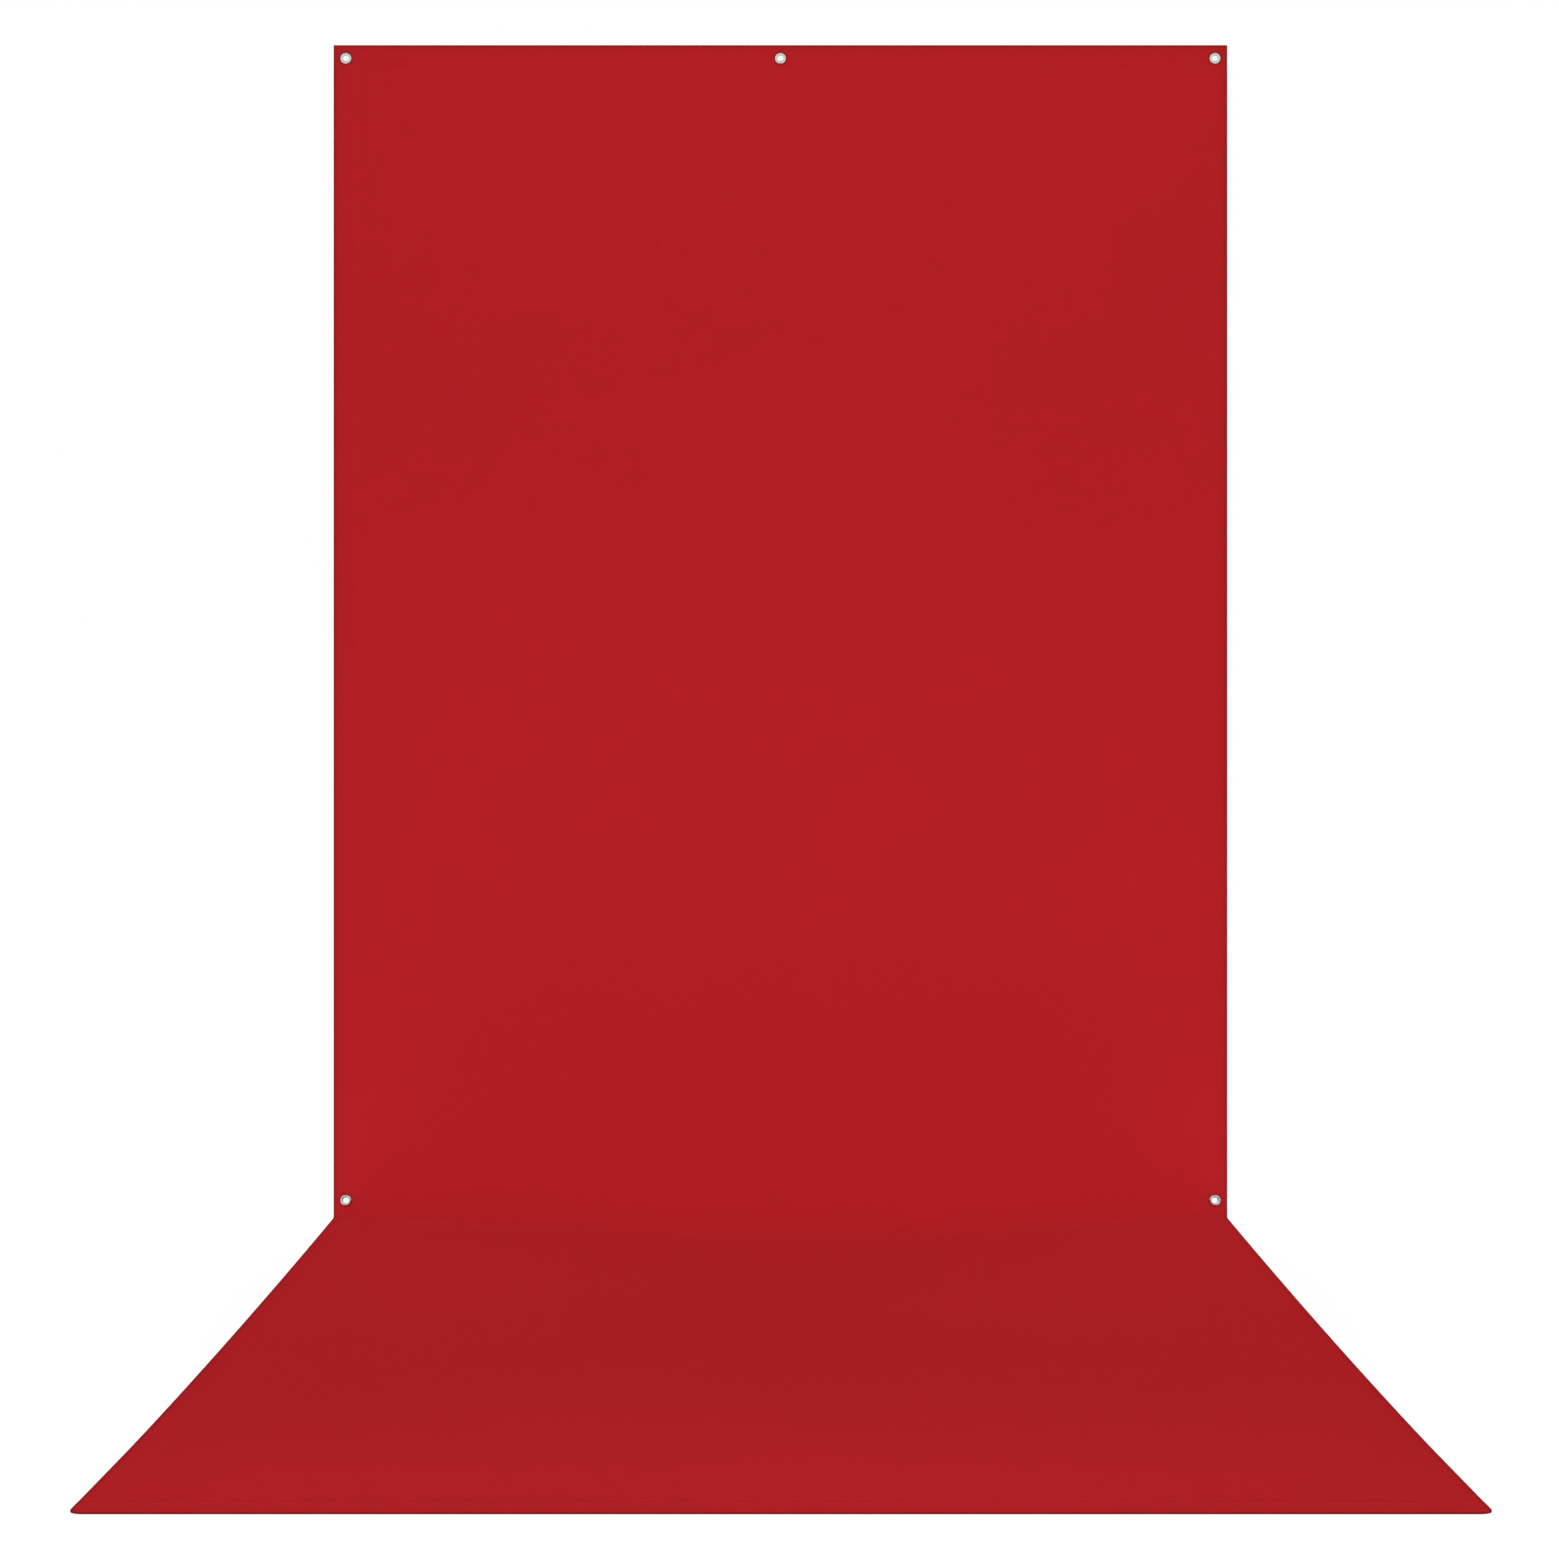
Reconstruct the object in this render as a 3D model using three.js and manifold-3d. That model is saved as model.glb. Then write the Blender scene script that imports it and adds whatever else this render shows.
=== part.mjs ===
// A photographer's backdrop with a sweep: one long sheet of red cloth that hangs from its grommets,
// turns forward just above the floor and runs out flat in front.
//
// Millimetres, +Z up, +X to the right of someone facing the backdrop. The drop hangs at the back and
// the sweep comes forward, towards -Y. The origin is on the floor, below the middle of the part.

import * as THREE from "three";
import { mergeVertices } from "three/addons/utils/BufferGeometryUtils.js";
import Module from "manifold-3d";

const wasm = await Module();
wasm.setup();

// ---------------------------------------------------------------- driving dimensions

// The sheet, finished: 5 ft wide and 12 ft long, measured along the cloth.
const sheetWidth = 1524;
const sheetLength = 3658;
const clothThickness = 0.5;
const frontCornerRadius = 15;

// The hem is the cloth's own edge, turned in twice to the back and stitched near its inner edge.
const hemWidth = 40;
const hemThickness = 2 * clothThickness;
const hemStitchInset = 37.5;

// Pieces that touch keep this much air between them.
const contactGap = 0.1;

// How the sheet hangs, at the middle of the cloth's thickness and above the level of the flat sweep:
// straight down to a sharp bend, then forward in a long shallow slope that settles flat. The low
// grommets hold the bend up at the sides, and it sags between them until it nearly reaches the floor.
const hangHeight = 2035;
const sideRise = 35.5;
const middleRise = 7.5;
const slopeReach = 1420;
const slopePower = 1.5;
const bendRadius = 4;
const lowestHalf = 100;

// The flat field of the sweep ends this far from the front edge, in a row of its own.
const fieldInset = 60;

// Grommets with a 10 mm hole: three under the top edge and two just above the bend.
const grommetSideInset = 21;
const topGrommetDepth = 22.5;
const lowGrommetDepth = 1970;
const boreRadius = 5;
const barrelWall = 0.5;
const flangeRadius = 9.5;
const flangeHeight = 1.3;
const crimpRadius = 6.9;
const crimpHeight = 0.7;
const washerThickness = 0.7;
const washerLandRadius = 9.1;
const washerSeatRadius = 7.2;

// A square patch behind each grommet, sewn round through to the front.
const patchSize = 30;
const patchThickness = 1;
const patchStitchInset = 2.5;

// A row of stitches is one ridge of thread on the front of the cloth. The rows along the top and front
// edges stop short of the sides, and the rows down the sides stop just short of the rows that cross them.
const threadWidth = 0.6;
const threadHeight = 0.3;
const crossThreadInset = 3;
const threadGap = 1;

// Holes in the cloth layers and washers clear the eyelet's barrel by this much all round.
const barrelClearance = 0.3;

// Tools that cut reach this far past what they cut.
const cutReach = 10;

// Points of a mesh that lie this close together are one point.
const mergeDistance = 1e-4;

// Steps along curves.
const bendSteps = 8;
const slopeSteps = 16;
const sagSteps = 12;
const cornerSteps = 6;
const domeSteps = 4;
const turnSteps = 24;

// ---------------------------------------------------------------- worked out from them

// Offsets from the middle of the cloth's thickness. The front of the drop and the top of the sweep
// are on the positive side, the hems and patches on the negative side.
const clothFront = clothThickness / 2;
const clothBack = -clothFront;
const threadBack = clothFront + contactGap;
const threadFront = threadBack + threadHeight;
const hemFront = clothBack - contactGap;
const hemBack = hemFront - hemThickness;
const patchFront = hemBack - contactGap;
const patchBack = patchFront - patchThickness;
const flangeSeat = clothFront + contactGap;
const washerFront = patchBack - contactGap;
const washerBack = washerFront - washerThickness;
const crimpSeat = washerBack - contactGap;

const halfWidth = sheetWidth / 2;
const barrelRadius = boreRadius + barrelWall;
const holeRadius = barrelRadius + barrelClearance;
const hemInner = hemWidth + contactGap;

const materials = {
  cloth: new THREE.MeshStandardMaterial({ color: 0xb02025, roughness: 0.9, metalness: 0 }),
  hem: new THREE.MeshStandardMaterial({ color: 0xaa1f24, roughness: 0.9, metalness: 0 }),
  patch: new THREE.MeshStandardMaterial({ color: 0x9c1c21, roughness: 0.95, metalness: 0 }),
  thread: new THREE.MeshStandardMaterial({ color: 0xb5252a, roughness: 0.6, metalness: 0 }),
  metal: new THREE.MeshStandardMaterial({ color: 0xc9cac8, roughness: 0.3, metalness: 1 }),
};

// ---------------------------------------------------------------- the sheet's path

// The slope's height at the bend, at a place across the sheet.
function riseAt(x) {
  const share = THREE.MathUtils.smoothstep(Math.abs(x), lowestHalf, halfWidth - hemWidth);
  return THREE.MathUtils.lerp(middleRise, sideRise, share);
}

// Height of the slope above the flat sweep, and how steeply it falls, at a place forward of the drop.
function slopeHeight(rise, forward) {
  return rise * (1 - forward / slopeReach) ** slopePower;
}

function slopeFall(rise, forward) {
  return (rise * slopePower * (1 - forward / slopeReach) ** (slopePower - 1)) / slopeReach;
}

// A station is a place on the path with its normal, as x = forward of the drop and y = height.
// The normal points to the front of the drop and the top of the sweep.
function station(forward, height, normalAngle) {
  return {
    place: new THREE.Vector2(forward, height),
    normal: new THREE.Vector2(Math.cos(normalAngle), Math.sin(normalAngle)),
  };
}

// The bend is an arc that is tangent to the drop and to the slope.
function bendStations(rise) {
  const lastAngle = Math.PI / 2 - Math.atan(slopeFall(rise, bendRadius));
  const lastForward = bendRadius * (1 - Math.cos(lastAngle));
  const centreHeight = slopeHeight(rise, lastForward) + bendRadius * Math.sin(lastAngle);
  const stations = [];
  for (let i = 0; i <= bendSteps; i++) {
    const angle = (lastAngle * i) / bendSteps;
    const forward = bendRadius * (1 - Math.cos(angle));
    const height = centreHeight - bendRadius * Math.sin(angle);
    stations.push(station(forward, height, angle));
  }
  return stations;
}

function slopeStations(rise, firstForward) {
  const stations = [];
  for (let i = 1; i <= slopeSteps; i++) {
    const forward = THREE.MathUtils.lerp(firstForward, slopeReach, i / slopeSteps);
    const angle = Math.PI / 2 - Math.atan(slopeFall(rise, forward));
    stations.push(station(forward, slopeHeight(rise, forward), angle));
  }
  return stations;
}

// How far forward the front edge lies: along a side edge the path is as long as the sheet.
function findFrontReach() {
  const bend = bendStations(sideRise);
  const slope = slopeStations(sideRise, bend.at(-1).place.x);
  const stations = [station(0, hangHeight, 0), ...bend, ...slope];
  let length = 0;
  for (let i = 1; i < stations.length; i++) {
    length += stations[i].place.distanceTo(stations[i - 1].place);
  }
  return slopeReach + sheetLength - length;
}

const frontReach = findFrontReach();

// The path at one place across the sheet, short of the top and front edges by an inset.
function pathAt(x, inset = 0) {
  const rise = riseAt(x);
  const bend = bendStations(rise);
  const slope = slopeStations(rise, bend.at(-1).place.x);
  const top = station(0, hangHeight - inset, 0);
  const field = station(frontReach - fieldInset, 0, Math.PI / 2);
  const front = station(frontReach - inset, 0, Math.PI / 2);
  return [top, ...bend, ...slope, field, front];
}

// ---------------------------------------------------------------- shapes

// A band lies along the path between two offsets, over some columns across the sheet. Its mesh is a
// grid on each face, closed round the edges.
function band(columns, inset, offsetLow, offsetHigh) {
  const positions = [];
  const indices = [];
  const rows = pathAt(0).length;
  const layer = columns.length * rows;
  for (const offset of [offsetLow, offsetHigh]) {
    for (const x of columns) {
      for (const { place, normal } of pathAt(x, inset)) {
        positions.push(x, -(place.x + offset * normal.x), place.y + offset * normal.y);
      }
    }
  }
  const low = (column, row) => column * rows + row;
  const high = (column, row) => layer + column * rows + row;
  const quad = (a, b, c, d) => indices.push(a, b, c, a, c, d);
  const lastColumn = columns.length - 1;
  const lastRow = rows - 1;
  for (let i = 0; i < lastColumn; i++) {
    for (let j = 0; j < lastRow; j++) {
      quad(high(i, j), high(i, j + 1), high(i + 1, j + 1), high(i + 1, j));
      quad(low(i, j), low(i + 1, j), low(i + 1, j + 1), low(i, j + 1));
    }
    quad(low(i, 0), high(i, 0), high(i + 1, 0), low(i + 1, 0));
    quad(low(i, lastRow), low(i + 1, lastRow), high(i + 1, lastRow), high(i, lastRow));
  }
  for (let j = 0; j < lastRow; j++) {
    quad(low(0, j), low(0, j + 1), high(0, j + 1), high(0, j));
    quad(low(lastColumn, j), high(lastColumn, j), high(lastColumn, j + 1), low(lastColumn, j + 1));
  }
  const geometry = new THREE.BufferGeometry();
  geometry.setAttribute("position", new THREE.Float32BufferAttribute(positions, 3));
  geometry.setIndex(indices);
  geometry.computeVertexNormals();
  return geometry;
}

// A plate on the drop lies between two offsets. Its shape is drawn in x and height.
function dropPlate(shape, offsetLow, offsetHigh) {
  const geometry = new THREE.ExtrudeGeometry(shape, {
    depth: offsetHigh - offsetLow,
    bevelEnabled: false,
    curveSegments: turnSteps / 2,
  });
  return geometry.rotateX(Math.PI / 2).translate(0, -offsetLow, 0);
}

// A plate on the flat front of the sweep. Its shape is drawn in x and distance forward.
function floorPlate(shape, offsetLow, offsetHigh) {
  const geometry = new THREE.ExtrudeGeometry(shape, {
    depth: offsetHigh - offsetLow,
    bevelEnabled: false,
    curveSegments: cornerSteps,
  });
  // Drawing forward along -Y mirrors the shape, so it is laid face down and lifted by its top offset.
  return geometry.rotateX(Math.PI).translate(0, 0, offsetHigh);
}

function rectangle(left, low, right, high) {
  return new THREE.Shape([
    new THREE.Vector2(left, low),
    new THREE.Vector2(right, low),
    new THREE.Vector2(right, high),
    new THREE.Vector2(left, high),
  ]);
}

function squareRing(x, height, outerSize, innerSize) {
  const outer = outerSize / 2;
  const inner = innerSize / 2;
  const shape = rectangle(x - outer, height - outer, x + outer, height + outer);
  shape.holes.push(rectangle(x - inner, height - inner, x + inner, height + inner));
  return shape;
}

// A turned part has its axis along Y. Its section is drawn clockwise, in radius and offset, and closes
// on itself.
function turned(section, steps) {
  const closed = [...section, section[0]].reverse();
  return new THREE.LatheGeometry(closed, steps).rotateX(Math.PI);
}

// ---------------------------------------------------------------- cutting

function toSolid(geometry) {
  const bare = geometry.index ? geometry.toNonIndexed() : geometry.clone();
  bare.deleteAttribute("normal");
  bare.deleteAttribute("uv");
  const merged = mergeVertices(bare, mergeDistance);
  const mesh = new wasm.Mesh({
    numProp: 3,
    vertProperties: merged.attributes.position.array,
    triVerts: new Uint32Array(merged.index.array),
  });
  return new wasm.Manifold(mesh);
}

function fromSolid(solid) {
  const mesh = solid.getMesh();
  const geometry = new THREE.BufferGeometry();
  geometry.setAttribute("position", new THREE.BufferAttribute(mesh.vertProperties, 3));
  geometry.setIndex(new THREE.BufferAttribute(mesh.triVerts, 1));
  geometry.computeVertexNormals();
  return geometry;
}

function cut(geometry, tools) {
  const solid = tools.reduce((left, tool) => left.subtract(toSolid(tool)), toSolid(geometry));
  return fromSolid(solid);
}

// ---------------------------------------------------------------- the grommets' places

const grommetX = halfWidth - grommetSideInset;
const topGrommetHeight = hangHeight - topGrommetDepth;
const lowGrommetHeight = hangHeight - lowGrommetDepth;

const grommets = [
  { name: "top_left", x: -grommetX, height: topGrommetHeight },
  { name: "top_centre", x: 0, height: topGrommetHeight },
  { name: "top_right", x: grommetX, height: topGrommetHeight },
  { name: "low_left", x: -grommetX, height: lowGrommetHeight },
  { name: "low_right", x: grommetX, height: lowGrommetHeight },
];

// A drill clears one grommet's barrel through every layer of cloth.
function drill(grommet) {
  const geometry = new THREE.CylinderGeometry(holeRadius, holeRadius, 2 * cutReach, turnSteps);
  return geometry.translate(grommet.x, 0, grommet.height);
}

const drills = grommets.map(drill);

// ---------------------------------------------------------------- cloth and hems

// What a rounded front corner takes away, as a plate tall enough to cut every layer.
function cornerOffcut(side) {
  const edge = side * halfWidth;
  const inner = edge - side * frontCornerRadius;
  const back = frontReach - frontCornerRadius;
  const shape = new THREE.Shape();
  const fromAngle = side > 0 ? 0 : Math.PI;
  shape.moveTo(edge, back);
  shape.absarc(inner, back, frontCornerRadius, fromAngle, Math.PI / 2, side < 0);
  shape.lineTo(inner, frontReach + cutReach);
  shape.lineTo(edge + side * cutReach, frontReach + cutReach);
  shape.lineTo(edge + side * cutReach, back);
  return floorPlate(shape, -cutReach, cutReach);
}

const cornerOffcuts = [cornerOffcut(-1), cornerOffcut(1)];

// Columns of the cloth's grid, close enough to follow the sag between the low grommets.
function clothColumns() {
  const right = [];
  for (let i = 0; i <= sagSteps; i++) {
    right.push(THREE.MathUtils.lerp(lowestHalf, halfWidth - hemWidth, i / sagSteps));
  }
  right.push(halfWidth);
  const left = right.map((x) => -x).reverse();
  return [...left, ...right];
}

function makeCloth() {
  const sheet = band(clothColumns(), 0, clothBack, clothFront);
  return cut(sheet, [...drills, ...cornerOffcuts]);
}

// Two columns near a side edge, from left to right, given their distances from that edge.
function sideColumns(side, nearEdge, farFromEdge) {
  const columns = [side * (halfWidth - nearEdge), side * (halfWidth - farFromEdge)];
  return columns.sort((a, b) => a - b);
}

function makeTopHem() {
  const strip = rectangle(-halfWidth, hangHeight - hemWidth, halfWidth, hangHeight);
  return cut(dropPlate(strip, hemBack, hemFront), drills.slice(0, 3));
}

function makeSideHem(side) {
  const strip = band(sideColumns(side, 0, hemWidth), hemInner, hemBack, hemFront);
  return cut(strip, drills.slice(3));
}

function makeFrontHem() {
  const strip = rectangle(-halfWidth, frontReach - hemWidth, halfWidth, frontReach);
  return cut(floorPlate(strip, hemBack, hemFront), cornerOffcuts);
}

// ---------------------------------------------------------------- hem threads

const threadLow = hemStitchInset - threadWidth / 2;
const threadHigh = hemStitchInset + threadWidth / 2;
const crossThreadEnd = halfWidth - crossThreadInset;

function makeTopThread() {
  const low = hangHeight - threadHigh;
  const ridge = rectangle(-crossThreadEnd, low, crossThreadEnd, low + threadWidth);
  return dropPlate(ridge, threadBack, threadFront);
}

function makeSideThread(side) {
  const columns = sideColumns(side, threadLow, threadHigh);
  return band(columns, threadHigh + threadGap, threadBack, threadFront);
}

function makeFrontThread() {
  const back = frontReach - threadHigh;
  const ridge = rectangle(-crossThreadEnd, back, crossThreadEnd, back + threadWidth);
  return floorPlate(ridge, threadBack, threadFront);
}

// ---------------------------------------------------------------- grommet pieces

// The eyelet is turned over at the back: a domed flange in front, a barrel through the layers, and
// the barrel's end rolled outwards against the washer.
function makeEyelet() {
  const section = [];
  const domeHalf = (flangeRadius - boreRadius) / 2;
  const domeCentre = boreRadius + domeHalf;
  for (let i = 0; i <= 2 * domeSteps; i++) {
    const angle = (Math.PI * i) / (2 * domeSteps);
    const radius = domeCentre - domeHalf * Math.cos(angle);
    section.push(new THREE.Vector2(radius, flangeSeat + flangeHeight * Math.sin(angle)));
  }
  section.push(new THREE.Vector2(barrelRadius, flangeSeat));
  section.push(new THREE.Vector2(barrelRadius, crimpSeat));
  const rollHalf = (crimpRadius - boreRadius) / 2;
  const rollCentre = boreRadius + rollHalf;
  for (let i = 0; i <= domeSteps; i++) {
    const angle = (Math.PI * i) / domeSteps;
    const radius = rollCentre + rollHalf * Math.cos(angle);
    section.push(new THREE.Vector2(radius, crimpSeat - crimpHeight * Math.sin(angle)));
  }
  return turned(section, turnSteps);
}

// The washer's back has a seat that the crimp bears on, a flat land round it and a bevelled rim.
function makeWasher() {
  const bevel = flangeRadius - washerLandRadius;
  const section = [
    new THREE.Vector2(holeRadius, washerBack),
    new THREE.Vector2(holeRadius, washerFront),
    new THREE.Vector2(flangeRadius, washerFront),
    new THREE.Vector2(flangeRadius, washerBack + bevel),
    new THREE.Vector2(washerLandRadius, washerBack),
    new THREE.Vector2(washerSeatRadius, washerBack),
  ];
  return turned(section, turnSteps);
}

function makePatch() {
  const half = patchSize / 2;
  const shape = rectangle(-half, -half, half, half);
  shape.holes.push(new THREE.Path().absarc(0, 0, holeRadius, 0, 2 * Math.PI, true));
  return dropPlate(shape, patchBack, patchFront);
}

function makePatchThread() {
  const outer = patchSize - 2 * patchStitchInset;
  return dropPlate(squareRing(0, 0, outer, outer - 2 * threadWidth), threadBack, threadFront);
}

// ---------------------------------------------------------------- assembly

const backdrop = new THREE.Group();
backdrop.name = "backdrop";

function add(parent, name, geometry, material) {
  const mesh = new THREE.Mesh(geometry, material);
  mesh.name = name;
  parent.add(mesh);
}

add(backdrop, "backdrop_cloth", makeCloth(), materials.cloth);
add(backdrop, "top_hem", makeTopHem(), materials.hem);
add(backdrop, "left_hem", makeSideHem(-1), materials.hem);
add(backdrop, "right_hem", makeSideHem(1), materials.hem);
add(backdrop, "front_hem", makeFrontHem(), materials.hem);
add(backdrop, "top_hem_thread", makeTopThread(), materials.thread);
add(backdrop, "left_hem_thread", makeSideThread(-1), materials.thread);
add(backdrop, "right_hem_thread", makeSideThread(1), materials.thread);
add(backdrop, "front_hem_thread", makeFrontThread(), materials.thread);

for (const grommet of grommets) {
  const set = new THREE.Group();
  set.position.set(grommet.x, 0, grommet.height);
  add(set, `${grommet.name}_eyelet`, makeEyelet(), materials.metal);
  add(set, `${grommet.name}_washer`, makeWasher(), materials.metal);
  add(set, `${grommet.name}_patch`, makePatch(), materials.patch);
  add(set, `${grommet.name}_patch_thread`, makePatchThread(), materials.thread);
  backdrop.add(set);
}

// Move the whole part so that its origin is below its middle, on the floor.
backdrop.updateMatrixWorld(true);
const box = new THREE.Box3().setFromObject(backdrop, true);
const middle = box.getCenter(new THREE.Vector3());
backdrop.position.set(-middle.x, -middle.y, -box.min.z);

export default backdrop;
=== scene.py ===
"""Looks of a red cloth backdrop with a sweep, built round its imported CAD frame.

Metres, +Z up. The drop hangs at the back (+Y) and the sweep comes forward (-Y).

What lies on the cloth is placed in the sheet's own coordinates: across (to the right of the middle),
down (along the cloth from the top edge) and out (off the middle of its thickness, towards the front of
the drop and the top of the sweep). lay() turns them into space.
"""
import math

import bpy
import numpy as np
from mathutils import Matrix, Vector


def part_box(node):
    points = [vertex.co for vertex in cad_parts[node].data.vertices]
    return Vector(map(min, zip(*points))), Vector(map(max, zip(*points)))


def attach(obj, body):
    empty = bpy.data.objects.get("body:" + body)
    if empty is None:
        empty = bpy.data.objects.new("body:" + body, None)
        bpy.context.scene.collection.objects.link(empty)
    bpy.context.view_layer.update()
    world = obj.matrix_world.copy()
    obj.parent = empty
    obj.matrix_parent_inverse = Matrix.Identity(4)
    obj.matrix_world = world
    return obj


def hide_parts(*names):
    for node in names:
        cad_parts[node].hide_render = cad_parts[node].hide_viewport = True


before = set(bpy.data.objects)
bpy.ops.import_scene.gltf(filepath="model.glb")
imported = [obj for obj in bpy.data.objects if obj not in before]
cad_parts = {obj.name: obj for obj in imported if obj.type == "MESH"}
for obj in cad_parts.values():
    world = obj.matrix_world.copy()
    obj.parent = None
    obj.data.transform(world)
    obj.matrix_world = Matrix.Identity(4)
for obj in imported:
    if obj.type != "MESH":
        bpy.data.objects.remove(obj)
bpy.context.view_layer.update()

MM = 0.001

# ---------------------------------------------------------------- sizes from the frame

cloth_low, cloth_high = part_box("backdrop_cloth")
side_hem_low, side_hem_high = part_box("left_hem")
patch_low, patch_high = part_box("top_left_patch")
patch_thread_low, patch_thread_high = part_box("top_left_patch_thread")
hem_thread_low, hem_thread_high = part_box("top_hem_thread")
eyelet_low, eyelet_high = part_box("top_left_eyelet")
washer_low, washer_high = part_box("top_left_washer")

CAD_THICKNESS = 0.5 * MM  # of the cloth, which the frame's boxes don't show by itself
DROP_Y = cloth_high.y - CAD_THICKNESS / 2
FLAT_Z = cloth_low.z + CAD_THICKNESS / 2
HALF_WIDTH = cloth_high.x
HANG_HEIGHT = cloth_high.z - FLAT_Z
FRONT_REACH = DROP_Y - cloth_low.y
HEM_WIDTH = side_hem_high.x - side_hem_low.x
STITCH_INSET = cloth_high.z - (hem_thread_low.z + hem_thread_high.z) / 2
PATCH_HALF = (patch_high.x - patch_low.x) / 2
PATCH_STITCH_HALF = (patch_thread_high.x - patch_thread_low.x) / 2

GROMMETS = ["top_left", "top_centre", "top_right", "low_left", "low_right"]

# ---------------------------------------------------------------- the sheet's path

SIDE_RISE = 35.5 * MM  # of the bend above the flat sweep, at the sides and in the middle
MIDDLE_RISE = 7.5 * MM
LOWEST_HALF = 100 * MM  # half the width of the stretch that sags lowest
SLOPE_REACH = 1420 * MM  # how far forward the sweep comes down to lie flat
SLOPE_POWER = 1.5
BEND_RADIUS = 4 * MM
SAG_FROM = 300 * MM  # the drop gives a little below here, to let its middle sag
CORNER_RADIUS = 15 * MM  # of the two front corners
SIDE_SAMPLES = 2001


def smoothstep(x, low, high):
    """0 at low and 1 at high, with a smooth start and end. low may be the larger of the two."""
    t = np.clip((x - low) / (high - low), 0, 1)
    return t * t * (3 - 2 * t)


def rise_at(across):
    """Height of the bend above the flat sweep. The grommets hold it up at the sides."""
    share = smoothstep(np.abs(across), LOWEST_HALF, HALF_WIDTH - HEM_WIDTH)
    return MIDDLE_RISE + (SIDE_RISE - MIDDLE_RISE) * share


def slope_height(rise, forward):
    """Height of the sweep above its flat part, at a distance forward of the drop."""
    return rise * np.clip(1 - forward / SLOPE_REACH, 0, 1) ** SLOPE_POWER


def slope_fall(rise, forward):
    """How steeply the sweep falls there, as height lost for each length forward."""
    share = np.clip(1 - forward / SLOPE_REACH, 0, 1)
    return rise * SLOPE_POWER * share ** (SLOPE_POWER - 1) / SLOPE_REACH


def bend_end(rise):
    """Normal angle and distance forward where the bend meets the slope, and its centre's height."""
    angle = np.pi / 2 - np.arctan(slope_fall(rise, BEND_RADIUS))
    forward = BEND_RADIUS * (1 - np.cos(angle))
    centre = slope_height(rise, forward) + BEND_RADIUS * np.sin(angle)
    return angle, forward, centre


SIDE_ANGLE, SIDE_FORWARD, SIDE_CENTRE = bend_end(SIDE_RISE)
DROP_LENGTH = HANG_HEIGHT - SIDE_CENTRE
BEND_LENGTH = BEND_RADIUS * SIDE_ANGLE

side_forward = np.linspace(SIDE_FORWARD, FRONT_REACH, SIDE_SAMPLES)
side_steps = np.hypot(np.diff(side_forward), np.diff(slope_height(SIDE_RISE, side_forward)))
side_down = DROP_LENGTH + BEND_LENGTH + np.concatenate([[0], np.cumsum(side_steps)])
SHEET_LENGTH = side_down[-1]


def lay_smooth(across, down, out):
    """Places in space, and the angle of the cloth's normal there, of a sheet with no relief."""
    across, down, out = np.broadcast_arrays(across, down, out)
    rise = rise_at(across)
    last_angle, last_forward, centre = bend_end(rise)
    give = (SIDE_CENTRE - centre) * smoothstep(down, SAG_FROM, DROP_LENGTH)
    turn = np.clip((down - DROP_LENGTH) / BEND_LENGTH, 0, 1) * last_angle
    along = (np.interp(down, side_down, side_forward) - SIDE_FORWARD) / (FRONT_REACH - SIDE_FORWARD)
    reach = last_forward + along * (FRONT_REACH - last_forward)

    on_drop = down < DROP_LENGTH
    on_slope = down > DROP_LENGTH + BEND_LENGTH
    bend_height = centre - BEND_RADIUS * np.sin(turn)
    forward = np.where(on_slope, reach, BEND_RADIUS * (1 - np.cos(turn)))
    height = np.where(on_slope, slope_height(rise, reach), bend_height)
    height = np.where(on_drop, HANG_HEIGHT - down - give, height)
    angle = np.where(on_slope, np.pi / 2 - np.arctan(slope_fall(rise, reach)), turn)
    y = DROP_Y - forward - out * np.cos(angle)
    z = FLAT_Z + height + out * np.sin(angle)
    return np.stack([across, y, z], -1), angle


# ---------------------------------------------------------------- relief from a cloth simulation

SIM_STEP = 30 * MM
SIM_FRAMES = 30
SIM_FLOOR_HALF = 3
PIN_REACH = 2 * SIM_STEP
PIN_STRENGTH = 1.6  # at a grommet, so that the points next to it are held fully as well
WEAKEST_PIN = 0.05

DROP_RELIEF = 5 * MM  # the most that the drop and the sweep may stand off their smooth shape
SWEEP_RELIEF = 3 * MM
DROP_FADE = 150 * MM  # above the bend, where the one limit turns into the other
GROMMET_REACH = 120 * MM  # round a grommet, where the cloth is drawn flat
HEM_DEPTH = FLAT_Z  # the hem's underside is this far below the middle of the cloth
TOUCH_DOWN = 0.3 * MM  # height of the middle of the cloth where it lies on the floor by itself
SETTLED_HEIGHT = 3 * MM  # the smooth shape lies on the floor below this, and is clear of it above the next
CLEAR_HEIGHT = 12 * MM

sim_across = np.linspace(-HALF_WIDTH, HALF_WIDTH, round(2 * HALF_WIDTH / SIM_STEP) + 1)
sim_down = np.linspace(0, SHEET_LENGTH, round(SHEET_LENGTH / SIM_STEP) + 1)


def grommet_centre(name):
    low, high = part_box(name + "_eyelet")
    return (low + high) / 2


def grommet_down(name):
    """How far down the sheet a grommet sits. All of them are where the cloth hangs straight."""
    return HANG_HEIGHT - (grommet_centre(name).z - FLAT_Z)


def near_grommets(across, down, reach):
    """1 at each grommet, falling to 0 at this reach round it."""
    held = np.zeros(np.broadcast(across, down).shape)
    for name in GROMMETS:
        away = np.hypot(across - grommet_centre(name).x, down - grommet_down(name))
        held = np.maximum(held, 1 - smoothstep(away, 0, reach))
    return held


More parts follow.
